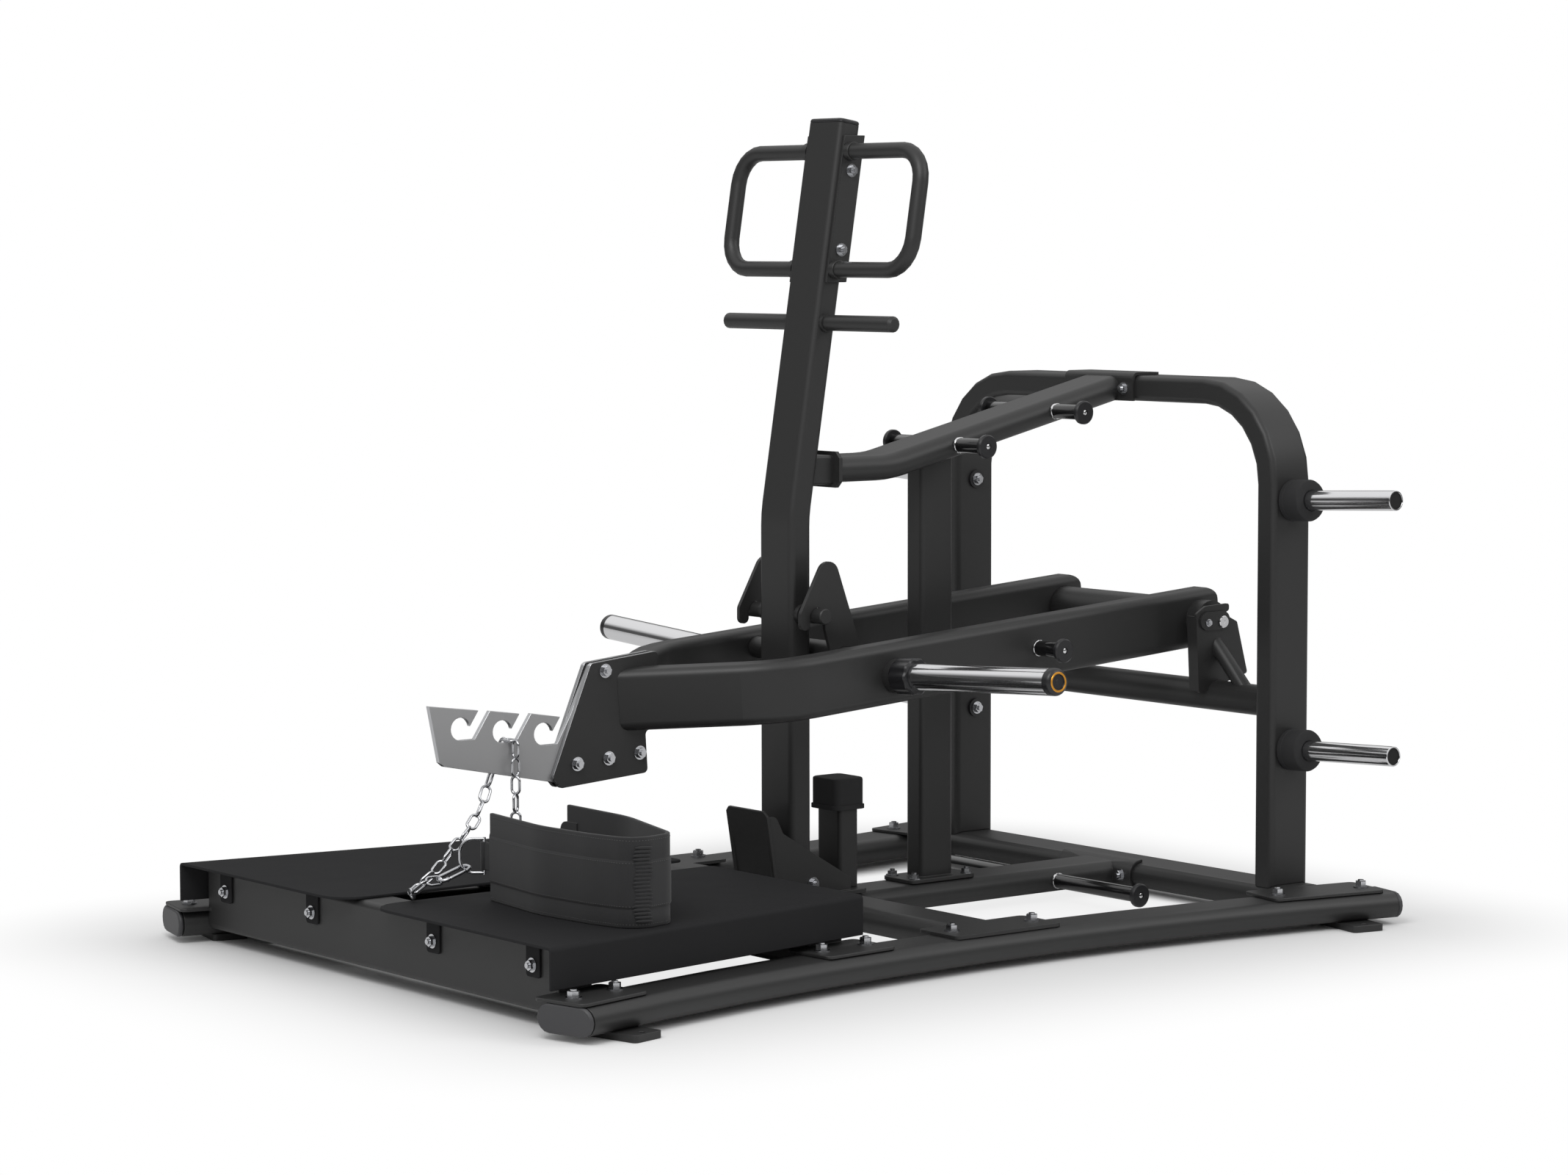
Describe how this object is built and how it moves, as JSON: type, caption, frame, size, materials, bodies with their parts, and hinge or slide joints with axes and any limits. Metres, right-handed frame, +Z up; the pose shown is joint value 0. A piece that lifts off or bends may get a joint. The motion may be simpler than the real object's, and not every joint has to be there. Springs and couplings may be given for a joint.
{
  "type": "belt squat machine",
  "caption": "Plate-loaded belt squat machine: pivoting lever arms with a chain and waist belt, split foot platform, leaning mast with hand loops and a rear arch with plate storage.",
  "frame": {"origin": "on the floor under the centre of the bounding box", "axes": "+X is the right-hand side of a user who stands on the platform and faces the mast, +Y runs from the front edge of the platform to the rear arch, +Z is up from the floor"},
  "size_m": [1.527, 1.9747, 1.5366],
  "materials": {
    "black_powder_coat": "matte black powder coat on welded steel tube and plate",
    "gloss_black_steel": "gloss black enamel on turned steel pegs",
    "chrome_plate": "bright chrome plate on the sleeves that carry weight plates",
    "satin_grey_steel": "satin grey coat with worn bright edges",
    "zinc_plate": "bright zinc plate on chain, rings and spring hook",
    "black_webbing": "stiff layered black nylon webbing with stitched edges",
    "moulded_plastic": "moulded black plastic plugs and collars",
    "black_rubber": "matte black moulded rubber"
  },
  "bodies": {
    "frame": {"rail_left": "black_powder_coat", "rail_right": "black_powder_coat", "rail_cap_front_left": "moulded_plastic", "rail_cap_front_right": "moulded_plastic", "rail_cap_rear_left": "moulded_plastic", "rail_cap_rear_right": "moulded_plastic", "front_beam": "black_powder_coat", "platform_rear_beam": "black_powder_coat", "mid_cross_beam": "black_powder_coat", "rear_cross_tube": "black_powder_coat", "base_centre_tube": "black_powder_coat", "deck_left": "black_powder_coat", "deck_right": "black_powder_coat", "mast": "black_powder_coat", "mast_cap": "moulded_plastic", "mast_base": "black_powder_coat", "bumper_post": "black_powder_coat", "bumper_cap": "black_rubber", "centre_post": "black_powder_coat", "brace_arm": "black_powder_coat", "brace_peg_front_left": "gloss_black_steel", "brace_peg_front_right": "gloss_black_steel", "brace_peg_rear_left": "gloss_black_steel", "brace_peg_rear_right": "gloss_black_steel", "base_peg_left": "gloss_black_steel", "base_peg_right": "gloss_black_steel", "rear_arch": "black_powder_coat", "storage_bumper_upper_left": "black_rubber", "storage_bumper_upper_right": "black_rubber", "storage_bumper_lower_left": "black_rubber", "storage_bumper_lower_right": "black_rubber", "storage_horn_upper_left": "chrome_plate", "storage_horn_upper_right": "chrome_plate", "storage_horn_lower_left": "chrome_plate", "storage_horn_lower_right": "chrome_plate", "handles": "black_powder_coat", "pivot_carrier": "black_powder_coat"},
    "lever_arm": {"lever_left": "black_powder_coat", "lever_right": "black_powder_coat", "pivot_tube": "black_powder_coat", "lever_cross_tube": "black_powder_coat", "arm_peg_left": "gloss_black_steel", "arm_peg_right": "gloss_black_steel", "horn_hub_left": "moulded_plastic", "horn_hub_right": "moulded_plastic", "horn_sleeve_left": "chrome_plate", "horn_sleeve_right": "chrome_plate", "horn_cap_left": "moulded_plastic", "horn_cap_right": "moulded_plastic", "hook_tray": "satin_grey_steel", "hook_cheek_left": "black_powder_coat", "hook_cheek_right": "black_powder_coat", "belt": "black_webbing", "belt_ring_front": "zinc_plate", "belt_ring_rear": "zinc_plate", "chain": "zinc_plate", "spring_hook": "zinc_plate"},
    "lockout": {"lockout_hooks": "black_powder_coat"},
    "gate": {"hook_gate": "zinc_plate"}
  },
  "joints": [
    {"name": "arm_pivot", "type": "hinge", "parent": "frame", "child": "lever_arm", "pos_m": [0, 0.84868, 0.562], "axis": [-1, 0, 0], "range_deg": [0, 18]},
    {"name": "lockout_pivot", "type": "hinge", "parent": "lever_arm", "child": "lockout", "pos_m": [0, 0.05468, 0.526], "axis": [-1, 0, 0], "range_deg": [0, 1.5]},
    {"name": "gate_pivot", "type": "hinge", "parent": "lever_arm", "child": "gate", "pos_m": [0.10371, -0.83571, 0.19452], "axis": [0.0865, -0.3159, 0.9448], "range_deg": [0, 22]}
  ]
}
